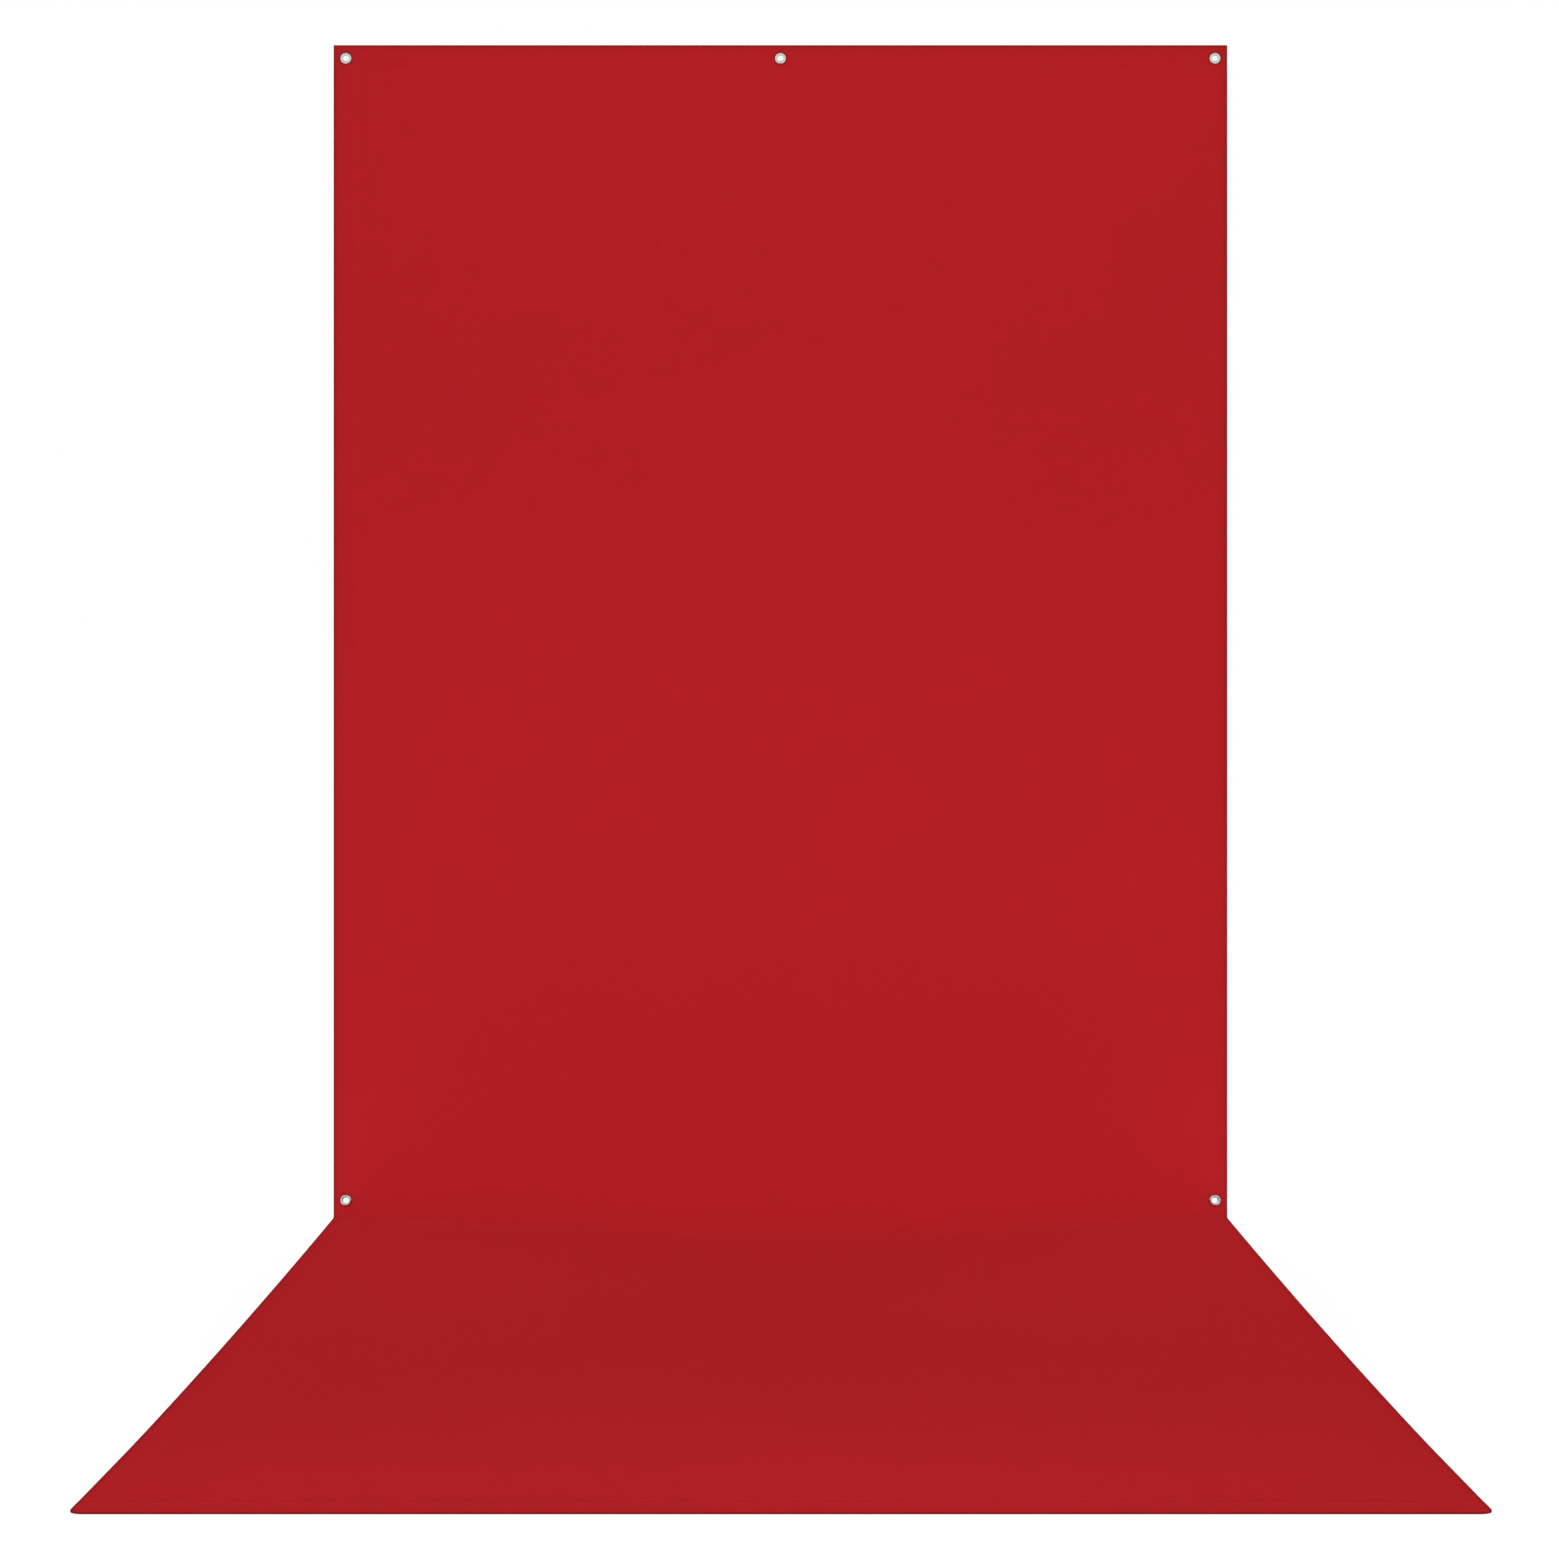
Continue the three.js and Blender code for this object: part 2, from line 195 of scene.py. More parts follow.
def grid_faces(rows, columns):
    """Quads between the points of a grid, counted row by row."""
    index = np.arange(rows * columns).reshape(rows, columns)
    corners = [index[:-1, :-1], index[1:, :-1], index[1:, 1:], index[:-1, 1:]]
    return np.stack(corners, -1).reshape(-1, 4)


def new_mesh(name, points, faces):
    places = np.asarray(points, float).reshape(-1, 3).tolist()
    mesh = bpy.data.meshes.new(name)
    mesh.from_pydata(places, [], [list(map(int, face)) for face in faces])
    return mesh


def new_floor(name, half):
    """A square at floor level, this far from its middle to each side."""
    corners = [(-half, -half, 0), (half, -half, 0), (half, half, 0), (-half, half, 0)]
    floor = bpy.data.objects.new(name, new_mesh(name, corners, [(0, 1, 2, 3)]))
    bpy.context.scene.collection.objects.link(floor)
    return floor


def simulate_hang():
    """Hangs a coarse sheet from its grommets over a floor, and gives where its points come to rest."""
    across, down = np.meshgrid(sim_across, sim_down)
    start, _ = lay_smooth(across, down, 0)
    mesh = new_mesh("sim_sheet", start, grid_faces(*across.shape))
    sheet = bpy.data.objects.new("sim_sheet", mesh)
    bpy.context.scene.collection.objects.link(sheet)
    held = near_grommets(across, down, PIN_REACH).ravel()
    pinned = sheet.vertex_groups.new(name="pinned")
    for i in np.flatnonzero(held > WEAKEST_PIN):
        pinned.add([int(i)], float(min(1, PIN_STRENGTH * held[i])), "REPLACE")

    floor = new_floor("sim_floor", SIM_FLOOR_HALF)
    floor.modifiers.new("Collision", "COLLISION")
    floor.collision.thickness_outer = 0.5 * MM
    floor.collision.cloth_friction = 20

    cloth = sheet.modifiers.new("Cloth", "CLOTH")
    cloth.settings.quality = 8
    cloth.settings.mass = 0.05
    cloth.settings.air_damping = 2
    cloth.settings.tension_stiffness = 25
    cloth.settings.compression_stiffness = 25
    cloth.settings.shear_stiffness = 12
    cloth.settings.bending_stiffness = 1.5
    cloth.settings.vertex_group_mass = "pinned"
    cloth.collision_settings.distance_min = 1 * MM
    cloth.point_cache.frame_start = 1
    cloth.point_cache.frame_end = SIM_FRAMES
    for number in range(1, SIM_FRAMES + 1):
        bpy.context.scene.frame_set(number)
    settled = sheet.evaluated_get(bpy.context.evaluated_depsgraph_get())
    places = np.zeros(len(mesh.vertices) * 3, np.float32)
    settled.data.vertices.foreach_get("co", places)
    bpy.data.objects.remove(sheet)
    bpy.data.objects.remove(floor)
    bpy.context.scene.frame_set(1)
    return places.reshape(start.shape).astype(float)


def edge_distance(across, down):
    """Distance to the nearest finished edge of the sheet, with its two front corners rounded."""
    sides = HALF_WIDTH - np.abs(across)
    ends = np.minimum(down, SHEET_LENGTH - down)
    beside = np.maximum(CORNER_RADIUS - sides, 0)
    ahead = np.maximum(CORNER_RADIUS - (SHEET_LENGTH - down), 0)
    in_corner = (beside > 0) & (ahead > 0)
    return np.where(in_corner, CORNER_RADIUS - np.hypot(beside, ahead), np.minimum(sides, ends))


def make_relief():
    """How far the cloth stands out of its smooth shape, at each point of the coarse grid."""
    across, down = np.meshgrid(sim_across, sim_down)
    smooth, angle = lay_smooth(across, down, 0)
    moved = simulate_hang() - smooth
    out = -moved[..., 1] * np.cos(angle) + moved[..., 2] * np.sin(angle)
    on_drop = smoothstep(DROP_LENGTH - down, 0, DROP_FADE)
    most = DROP_RELIEF * on_drop + SWEEP_RELIEF * (1 - on_drop)
    free = smoothstep(HALF_WIDTH - np.abs(across), HEM_WIDTH, 5 * HEM_WIDTH)
    free *= smoothstep(np.minimum(down, SHEET_LENGTH - down), HEM_WIDTH / 2, 5 * HEM_WIDTH)
    free *= 1 - near_grommets(across, down, GROMMET_REACH)
    relief = most * np.tanh(out / most) * free
    inside = smoothstep(edge_distance(across, down), HEM_WIDTH, 3 * HEM_WIDTH)
    lowest = HEM_DEPTH + (TOUCH_DOWN - HEM_DEPTH) * inside
    on_floor = smoothstep(smooth[..., 2], CLEAR_HEIGHT, SETTLED_HEIGHT)
    relief += (TOUCH_DOWN - HEM_DEPTH) * inside * on_floor * (1 - on_drop)
    return np.where(on_drop < 1, np.maximum(relief, lowest - smooth[..., 2]), relief)


relief_field = make_relief()


def spline_weights(t):
    """Weights of the four grid lines round a place, t of the way from the second to the third."""
    weights = [(1 - t) ** 3, 3 * t**3 - 6 * t**2 + 4, -3 * t**3 + 3 * t**2 + 3 * t + 1, t**3]
    return np.stack(weights, -1) / 6


def relief_at(across, down):
    """The relief between the grid's points, from a smooth cubic spline over it."""
    rows, columns = relief_field.shape
    row = np.clip(down / SHEET_LENGTH, 0, 1) * (rows - 1)
    column = np.clip(across / HALF_WIDTH / 2 + 0.5, 0, 1) * (columns - 1)
    first_row = np.minimum(np.floor(row).astype(int), rows - 2)
    first_column = np.minimum(np.floor(column).astype(int), columns - 2)
    row_weights = spline_weights(row - first_row)
    column_weights = spline_weights(column - first_column)
    total = np.zeros(row.shape)
    for a in range(4):
        for b in range(4):
            r = np.clip(first_row + a - 1, 0, rows - 1)
            c = np.clip(first_column + b - 1, 0, columns - 1)
            total += row_weights[..., a] * column_weights[..., b] * relief_field[r, c]
    return total


def lay(across, down, out):
    """Where points of the sheet's own coordinates are in space."""
    across, down, out = np.broadcast_arrays(across, down, out)
    return lay_smooth(across, down, out + relief_at(across, down))[0]


# ---------------------------------------------------------------- pieces

SMOOTH_BELOW = math.radians(50)


def make_piece(name, points, faces, slot, replaced, flat_places=None):
    """A piece on the frame's one body. flat_places are where its points lie in the flat weave."""
    mesh = new_mesh(name, points, faces)
    mesh.validate()
    mesh.shade_smooth()
    mesh.set_sharp_from_angle(angle=SMOOTH_BELOW)
    if flat_places is not None:
        corner_points = np.zeros(len(mesh.loops), int)
        mesh.loops.foreach_get("vertex_index", corner_points)
        weave = mesh.uv_layers.new(name="weave")
        weave.data.foreach_set("uv", np.asarray(flat_places, np.float32)[corner_points].ravel())
    piece = bpy.data.objects.new(name, mesh)
    bpy.context.scene.collection.objects.link(piece)
    piece.data.materials.append(materials[slot])
    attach(piece, "root")
    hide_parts(*replaced)
    return piece


def set_attribute(piece, name, values):
    attribute = piece.data.attributes.new(name, "FLOAT", "POINT")
    attribute.data.foreach_set("value", np.asarray(values, np.float32))


# ---------------------------------------------------------------- materials

CLOTH_RED = (0.434, 0.0152, 0.0192)
NICKEL_GREY = (0.62, 0.62, 0.6)
THREAD_PITCH = 0.5 * MM  # of the cloth's weave
WEBBING_PITCH = 0.8 * MM
RIB_PITCH = 1.6 * MM
TWIST_PITCH = 0.35 * MM
FLANGE_RADIUS = (eyelet_high.x - eyelet_low.x) / 2
# Width of the painted shade ring round each grommet's flange, which stands for its contact shadow.
SHADE_RING_WIDTH = 1.3 * MM
# Width of the painted shade along the cloth's folded edges.
EDGE_SHADE_WIDTH = 2 * MM
# Place and width of the painted shade along the bend, which evens out the extra light that the bend catches.
BEND_SHADE_DOWN = DROP_LENGTH + 0.8 * BEND_LENGTH
BEND_SHADE_WIDTH = 0.35 * BEND_LENGTH
PUCKER_WIDTH = 4 * MM


def add_node(tree, kind, inputs=(), **settings):
    """A shader node with its settings. Each input, by name or number, is a value or another's output."""
    node = tree.nodes.new(kind)
    for key, value in settings.items():
        setattr(node, key, value)
    for key, value in dict(inputs).items():
        if isinstance(value, bpy.types.NodeSocket):
            tree.links.new(value, node.inputs[key])
        else:
            node.inputs[key].default_value = value
    return node


def math_node(tree, operation, *values):
    """The result of one sum on numbers or other nodes' outputs."""
    return add_node(tree, "ShaderNodeMath", enumerate(values), operation=operation).outputs[0]


def new_material(name, **shader_values):
    """A material, its node tree and its shader, with these values on the shader's own sockets."""
    material = bpy.data.materials.new(name)
    material.use_nodes = True
    shader = material.node_tree.nodes["Principled BSDF"]
    for key, value in shader_values.items():
        shader.inputs[key.replace("_", " ")].default_value = value
    return material, material.node_tree, shader


def wave(tree, along, pitch):
    """A sine with this many metres to a turn."""
    return math_node(tree, "SINE", math_node(tree, "MULTIPLY", along, 2 * math.pi / pitch))


def noise(tree, place, scale, detail=3.0, stretch=(1, 1, 1)):
    """Noise of this many features to a metre, stretched along the axes."""
    spread = add_node(tree, "ShaderNodeVectorMath", {0: place, 1: stretch}, operation="MULTIPLY")
    inputs = {"Vector": spread.outputs[0], "Scale": scale, "Detail": detail}
    return add_node(tree, "ShaderNodeTexNoise", inputs).outputs["Fac"]


def weave_height(tree, place, pitch):
    """Plain weave: warp and weft threads that pass over and under each other."""
    parts = add_node(tree, "ShaderNodeSeparateXYZ", {"Vector": place}).outputs
    return math_node(tree, "MULTIPLY", wave(tree, parts["X"], pitch), wave(tree, parts["Y"], pitch))


def bell(tree, value, centre, width):
    """1 at the centre, falling away to 0 within a few widths."""
    off = math_node(tree, "DIVIDE", math_node(tree, "SUBTRACT", value, centre), width)
    squared = math_node(tree, "MULTIPLY", off, off)
    return math_node(tree, "DIVIDE", 1.0, math_node(tree, "ADD", 1.0, squared))


def shade_of(tree, colour, light, dark, factor):
    """The colour from dark to light times itself, as the factor goes from 0 to 1."""
    ramp = add_node(tree, "ShaderNodeValToRGB", {"Fac": factor})
    ramp.color_ramp.elements[0].color = (*[c * dark for c in colour], 1)
    ramp.color_ramp.elements[1].color = (*[c * light for c in colour], 1)
    return ramp.outputs["Color"]


def add_bump(tree, shader, height, strength, distance):
    """Bump on the shader, from a height of 0 to 1 that stands for this distance."""
    inputs = {"Height": height, "Strength": strength, "Distance": distance}
    bump = add_node(tree, "ShaderNodeBump", inputs)
    tree.links.new(bump.outputs["Normal"], shader.inputs["Normal"])


def weighted_sum(tree, *terms):
    """The sum of pairs of a value and its weight."""
    total = None
    for value, weight in terms:
        part = math_node(tree, "MULTIPLY", value, weight)
        total = part if total is None else math_node(tree, "ADD", total, part)
    return total


def grommet_shade_rings(tree, place):
    """1 in a narrow ring round each grommet's flange: painted shade for the flange's contact shadow on the
    cloth.
    """
    folded = add_node(tree, "ShaderNodeVectorMath", {0: place}, operation="ABSOLUTE").outputs["Vector"]
    shade_rings = None
    for name in ("top_right", "top_centre", "low_right"):
        centre = (grommet_centre(name).x, grommet_down(name), 0)
        away = add_node(tree, "ShaderNodeVectorMath", {0: folded, 1: centre}, operation="DISTANCE")
        ring = bell(tree, away.outputs["Value"], FLANGE_RADIUS, SHADE_RING_WIDTH)
        shade_rings = ring if shade_rings is None else math_node(tree, "MAXIMUM", shade_rings, ring)
    return shade_rings


def cloth_material():
    """Plain weave with uneven threads, puckered along its stitches, and with painted shade along its edges,
    round the grommets and along the bend.
    """
    values = dict(Roughness=0.85, Specular_IOR_Level=0.0, Sheen_Weight=0.02, Sheen_Roughness=0.5)
    values.update(Sheen_Tint=(1.0, 0.1, 0.1, 1), Diffuse_Roughness=1.0)
    material, tree, shader = new_material("red_cloth", **values)
    place = add_node(tree, "ShaderNodeUVMap", uv_map="weave").outputs["UV"]
    edge = add_node(tree, "ShaderNodeAttribute", attribute_name="edge").outputs["Fac"]

    mottle = noise(tree, place, scale=2.2, detail=4.0)
    weft_slubs = noise(tree, place, scale=30, detail=2.0, stretch=(0.35, 9, 1))
    warp_slubs = noise(tree, place, scale=30, detail=2.0, stretch=(9, 0.35, 1))
    weave = weave_height(tree, place, THREAD_PITCH)
    tone = weighted_sum(tree, (mottle, 0.4), (weft_slubs, 0.3), (warp_slubs, 0.3), (weave, 0.22))
    colour = shade_of(tree, CLOTH_RED, light=1.08, dark=0.92, factor=tone)
    # Painted shade along the folded edges of the sheet.
    painted_edge_shade = bell(tree, edge, centre=0.0, width=EDGE_SHADE_WIDTH)
    down = add_node(tree, "ShaderNodeSeparateXYZ", {"Vector": place}).outputs["Y"]
    # Painted shade along the bend, taking back the light it catches.
    painted_bend_shade = bell(tree, down, centre=BEND_SHADE_DOWN, width=BEND_SHADE_WIDTH)
    # Painted shade from the edges, the grommets and the bend darkens the colour together.
    painted_shade = weighted_sum(tree, (painted_edge_shade, 0.62), (grommet_shade_rings(tree, place), 0.5), (painted_bend_shade, 0.12))
    unshaded = math_node(tree, "SUBTRACT", 1.0, painted_shade)
    shaded_colour = add_node(tree, "ShaderNodeVectorMath", {0: colour, "Scale": unshaded}, operation="SCALE")
    tree.links.new(shaded_colour.outputs["Vector"], shader.inputs["Base Color"])

    puckers = noise(tree, place, scale=110, detail=1.0)
    near_stitches = bell(tree, edge, centre=STITCH_INSET, width=PUCKER_WIDTH)
    puckers = math_node(tree, "MULTIPLY", puckers, near_stitches)
    crumple = noise(tree, place, scale=9, detail=3.0)
    folds = [(puckers, 1.2), (crumple, 0.9)]
    threads = [(weave, 0.06), (weft_slubs, 0.06), (warp_slubs, 0.06)]
    add_bump(tree, shader, weighted_sum(tree, *folds, *threads), strength=0.5, distance=1 * MM)
    return material


def patch_material():
    """Ribbed webbing, a shade deeper than the cloth."""
    values = dict(Roughness=0.85, Specular_IOR_Level=0.1, Diffuse_Roughness=1.0)
    material, tree, shader = new_material("red_webbing", **values)
    place = add_node(tree, "ShaderNodeUVMap", uv_map="weave").outputs["UV"]
    down = add_node(tree, "ShaderNodeSeparateXYZ", {"Vector": place}).outputs["Y"]
    ribs = wave(tree, down, RIB_PITCH)
    threads = weave_height(tree, place, WEBBING_PITCH)
    grain = noise(tree, place, scale=900, detail=2.0)
    tone = math_node(tree, "ADD", math_node(tree, "MULTIPLY", ribs, 0.25), grain)
    deeper_red = [c * 0.86 for c in CLOTH_RED]
    colour = shade_of(tree, deeper_red, light=1.12, dark=0.8, factor=tone)
    tree.links.new(colour, shader.inputs["Base Color"])
    height = math_node(tree, "ADD", ribs, math_node(tree, "MULTIPLY", threads, 0.5))
    add_bump(tree, shader, height, strength=0.6, distance=0.15 * MM)
    return material


def thread_material():
    """Twisted polyester thread, a little brighter and glossier than the cloth."""
    values = dict(Roughness=0.6, Specular_IOR_Level=0.15, Diffuse_Roughness=0.6)
    material, tree, shader = new_material("red_thread", **values)
    place = add_node(tree, "ShaderNodeUVMap", uv_map="weave").outputs["UV"]
    parts = add_node(tree, "ShaderNodeSeparateXYZ", {"Vector": place}).outputs
    twist = wave(tree, math_node(tree, "ADD", parts["X"], parts["Y"]), TWIST_PITCH)
    fibres = noise(tree, place, scale=60, detail=2.0)
    tone = math_node(tree, "ADD", math_node(tree, "MULTIPLY", twist, 0.3), fibres)
    brighter_red = [c * 1.05 for c in CLOTH_RED]
    colour = shade_of(tree, brighter_red, light=1.12, dark=0.88, factor=tone)
    tree.links.new(colour, shader.inputs["Base Color"])
    add_bump(tree, shader, twist, strength=0.4, distance=0.05 * MM)
    return material


def nickel_material():
    """Nickel plate with the fine rings that pressing leaves, rubbed dull in places."""
    material, tree, shader = new_material("nickel_plate", Metallic=1.0)
    place = add_node(tree, "ShaderNodeUVMap", uv_map="weave").outputs["UV"]
    rings = noise(tree, place, scale=1500, detail=2.0, stretch=(0.04, 1, 1))
    rubbed = noise(tree, place, scale=260, detail=4.0)
    colour = shade_of(tree, NICKEL_GREY, light=1.08, dark=0.85, factor=rubbed)
    tree.links.new(colour, shader.inputs["Base Color"])
    polished = 0.1
    roughness = math_node(tree, "ADD", weighted_sum(tree, (rings, 0.12), (rubbed, 0.22)), polished)
    tree.links.new(roughness, shader.inputs["Roughness"])
    add_bump(tree, shader, rings, strength=0.15, distance=0.05 * MM)
    return material


materials = {
    "cloth": cloth_material(),
    "patch": patch_material(),
    "thread": thread_material(),
    "grommet_metal": nickel_material(),
}

# ---------------------------------------------------------------- the sheet with its turned-in hems

THICKNESS = 0.45 * MM
FOLD_RADIUS = 0.545 * MM  # the outer fold, round the hem's edge
TURN_RADIUS = 0.25 * MM  # the inner fold, where the raw edge is tucked under
TURN_UNDER = 10 * MM
HEM_OUT = -2 * FOLD_RADIUS  # the hem's back layer
UNDER_OUT = HEM_OUT + 2 * TURN_RADIUS  # the tucked edge, between the two others
FOLD_STEPS = 6
TUCK_STEPS = 4
HEM_END = HEM_WIDTH + 0.1 * MM  # a side hem stops short of the cross hems here
SIDE_HEM_STOP = HEM_END - 0.3 * MM
FIELD_STEP = 16 * MM
BEND_STEPS = 12
AFTER_BEND = np.array([2, 5, 10, 18, 30]) * MM  # lines that open out from the bend's to the field's step
NEAR_CORNER = np.array([33, 27, 21, 15, 12, 9, 6, 3]) * MM  # lines through the rounded front corners
SAME = 1e-6  # lines this close together are one line
EDGE_ZONE = 3 * MM  # the finished side edges are trued up within this distance
END_INSET = 0.2 * MM  # the cross hems' flat ends stop this far short of the side hems' round folds
HOLE_RADIUS = 5.8 * MM
HOLE_RINGS = (10.6 * MM, 8.4 * MM, HOLE_RADIUS)  # from the grid's block in to the hole
HOLE_STEPS = (-2, -1, 0, 1, 2)  # lines of the block round a hole, in steps from its centre
HOLE_STEP = 6 * MM


def hem_section(lines):
    """A hem's section, from the field to the raw edge. Each row is the distance from the finished edge,
    out, the normal's parts along those two, and whether the row is on the face of the cloth."""
    fold_start = FOLD_RADIUS + THICKNESS / 2
    turn_start = HEM_WIDTH - TURN_RADIUS - THICKNESS / 2
    rows = [(d, 0, 0, 1, 1) for d in lines] + [(fold_start, 0, 0, 1, 1)]
    for a in np.linspace(0, np.pi, FOLD_STEPS + 1)[1:]:
        inset = fold_start - FOLD_RADIUS * np.sin(a)
        rows.append((inset, FOLD_RADIUS * (np.cos(a) - 1), -np.sin(a), np.cos(a), 0))
    rows += [(d, HEM_OUT, 0, -1, 0) for d in reversed(lines) if d < turn_start]
    for a in np.linspace(0, np.pi, TUCK_STEPS + 1):
        inset = turn_start + TURN_RADIUS * np.sin(a)
        rows.append((inset, HEM_OUT + TURN_RADIUS * (1 - np.cos(a)), np.sin(a), -np.cos(a), 0))
    under = np.linspace(turn_start, HEM_WIDTH - TURN_UNDER, 4)[1:]
    rows += [(d, UNDER_OUT, 0, 1, 0) for d in under]
    return np.array(rows, float)


def spread(start, end, step):
    """Even lines from start to end, no further apart than the step."""
    return np.linspace(start, end, math.ceil((end - start) / step) + 1)


def hole_lines(centre):
    return [centre + s * HOLE_STEP for s in HOLE_STEPS]


def face_lines(places):
    """Lines on the face of the cloth, in a hem section's columns."""
    return np.array([(p, 0, 0, 1, 1) for p in places], float)


def across_lines():
    """The grid's lines down the sheet, from the left hem's raw edge to the right one's."""
    inset = HALF_WIDTH - grommet_centre("top_right").x
    near = [HEM_WIDTH + 1 * MM, STITCH_INSET, *reversed(hole_lines(inset)), 12 * MM, 6 * MM, EDGE_ZONE]
    section = hem_section(sorted(near, reverse=True))
    right, left = section.copy(), section[::-1].copy()
    right[:, 0] = HALF_WIDTH - section[:, 0]
    right[:, 2] *= -1
    left[:, 0] -= HALF_WIDTH
    half = spread(2 * HOLE_STEP, HALF_WIDTH - near[0], FIELD_STEP)[:-1]
    field = [*-half[::-1], *hole_lines(0)[1:-1], *half]
    return np.concatenate([left, face_lines(field), right])


def down_lines():
    """The grid's lines across the sheet, from the top hem's raw edge to the front one's."""
    top_inset = grommet_down("top_right")
    low = grommet_down("low_right")
    top_near = [HEM_END, SIDE_HEM_STOP, STITCH_INSET, *reversed(hole_lines(top_inset)), EDGE_ZONE]
    front_near = [HEM_END, SIDE_HEM_STOP, STITCH_INSET, *NEAR_CORNER]
    top = hem_section(top_near)[::-1].copy()
    front = hem_section(front_near)
    front[:, 0] = SHEET_LENGTH - front[:, 0]
    front[:, 2] *= -1
    bend_stop = DROP_LENGTH + BEND_LENGTH
    above = spread(HEM_END, hole_lines(low)[0], FIELD_STEP)[1:-1]
    before_bend = (hole_lines(low)[-1] + DROP_LENGTH) / 2
    bend = np.linspace(DROP_LENGTH, bend_stop, BEND_STEPS + 1)
    after_bend = bend_stop + AFTER_BEND
    sweep = spread(after_bend[-1], SHEET_LENGTH - HEM_END, FIELD_STEP)[:-1]
    middle = [*above, *hole_lines(low), before_bend, *bend, *after_bend[:-1], *sweep]
    return np.concatenate([top, face_lines(middle), front])


def true_up_sides(across, down):
    """Carries the cross hems out to the finished side edges, where the side hems have their folds."""
    fold_start = FOLD_RADIUS + THICKNESS / 2
    inset = HALF_WIDTH - np.abs(across)
    on_cross_hem = np.minimum(down, SHEET_LENGTH - down) < HEM_END - SAME
    near = on_cross_hem & (inset < EDGE_ZONE)
    stretched = END_INSET + (inset - fold_start) * (EDGE_ZONE - END_INSET) / (EDGE_ZONE - fold_start)
    return np.where(near, np.sign(across) * (HALF_WIDTH - stretched), across)


def round_front_corners(across, down):
    """Moves the points near the two front corners onto quarter discs."""
    beside = CORNER_RADIUS - (HALF_WIDTH - np.abs(across))
    ahead = CORNER_RADIUS - (SHEET_LENGTH - down)
    near = (beside > 0) & (ahead > 0)
    shrink = np.where(near, np.maximum(beside, ahead) / np.maximum(np.hypot(beside, ahead), 1e-9), 1)
    rounded_across = np.sign(across) * (HALF_WIDTH - CORNER_RADIUS + beside * shrink)
    rounded_down = SHEET_LENGTH - CORNER_RADIUS + ahead * shrink
    return np.where(near, rounded_across, across), np.where(near, rounded_down, down)


def sheet_grid():
    """The middle surface of the sheet, hems included, as points and quads with its holes cut. Each point
    is across, down, out and the three parts of its normal."""
    columns, rows = across_lines(), down_lines()
    on_face = rows[:, None, 4] * columns[None, :, 4] > 0
    cross_hem = (rows[:, None, 4] == 0) & (columns[None, :, 4] > 0)
    from_ends = np.minimum(rows[:, 0], SHEET_LENGTH - rows[:, 0])
    beside = (from_ends > HEM_END - SAME) & (rows[:, 4] > 0)
    side_hem = beside[:, None] & (columns[None, :, 4] == 0)
    real = on_face | cross_hem | side_hem
    index = np.where(real, np.cumsum(real).reshape(real.shape) - 1, -1)
    size = real.shape
    across = np.broadcast_to(columns[None, :, 0], size)
    down = np.broadcast_to(rows[:, None, 0], size)
    out = np.where(cross_hem, rows[:, None, 1], columns[None, :, 1])
    normal_across = np.where(cross_hem, 0, columns[None, :, 2])
    normal_down = np.where(cross_hem, rows[:, None, 2], 0)
    normal_out = np.where(cross_hem, rows[:, None, 3], columns[None, :, 3])
    points = np.stack([across, down, out, normal_across, normal_down, normal_out], -1)[real]
    corners = np.stack([index[:-1, :-1], index[1:, :-1], index[1:, 1:], index[:-1, 1:]], -1)
    whole = (corners >= 0).all(-1)

    extra_points, extra_quads = [], []
    for name in GROMMETS:
        centre = np.array([grommet_centre(name).x, grommet_down(name)])
        for block_rows, block_columns in hole_blocks(rows, columns, centre):
            whole[block_rows[0]:block_rows[-1], block_columns[0]:block_columns[-1]] = False
            loop = block_loop(index, block_rows, block_columns)
            corners_of_block = points[loop]
            for radius in HOLE_RINGS:
                first = len(points) + len(extra_points)
                for corner in corners_of_block:
                    away = corner[:2] - centre
                    place = centre + away * radius / np.hypot(*away)
                    extra_points.append([*place, *corner[2:]])
                count = len(loop)
                for k in range(count):
                    after = (k + 1) % count
                    extra_quads.append([loop[k], loop[after], first + after, first + k])
                loop = list(range(first, first + count))
    quads = np.concatenate([corners[whole], np.array(extra_quads)])
    used, quads = np.unique(quads, return_inverse=True)
    return np.concatenate([points, np.array(extra_points)])[used], quads.reshape(-1, 4)


def lines_at(lines, centre, out, on_face):
    """Numbers of the lines round a hole on one layer of the cloth. There are none off that layer."""
    near = np.abs(lines[:, 0] - centre) < HOLE_STEPS[-1] * HOLE_STEP + SAME
    on_layer = (np.abs(lines[:, 1] - out) < SAME) & (lines[:, 4] == on_face)
    return list(np.flatnonzero(near & on_layer))


def hole_blocks(rows, columns, centre):
    """The blocks of grid lines round one grommet: on the face, and on the hem behind it."""
    face_rows = lines_at(rows, centre[1], 0, 1)
    face_columns = lines_at(columns, centre[0], 0, 1)
    yield face_rows, face_columns
    hem_rows = lines_at(rows, centre[1], HEM_OUT, 0)
    if hem_rows:
        yield hem_rows, face_columns
    else:
        yield face_rows, lines_at(columns, centre[0], HEM_OUT, 0)


def block_loop(index, rows, columns):
    """The points round a block, in the same turn as its quads."""
    loop = [index[r, columns[0]] for r in rows]
    loop += [index[rows[-1], c] for c in columns[1:]]
    loop += [index[r, columns[-1]] for r in rows[-2::-1]]
    loop += [index[rows[0], c] for c in columns[-2:0:-1]]
    return loop


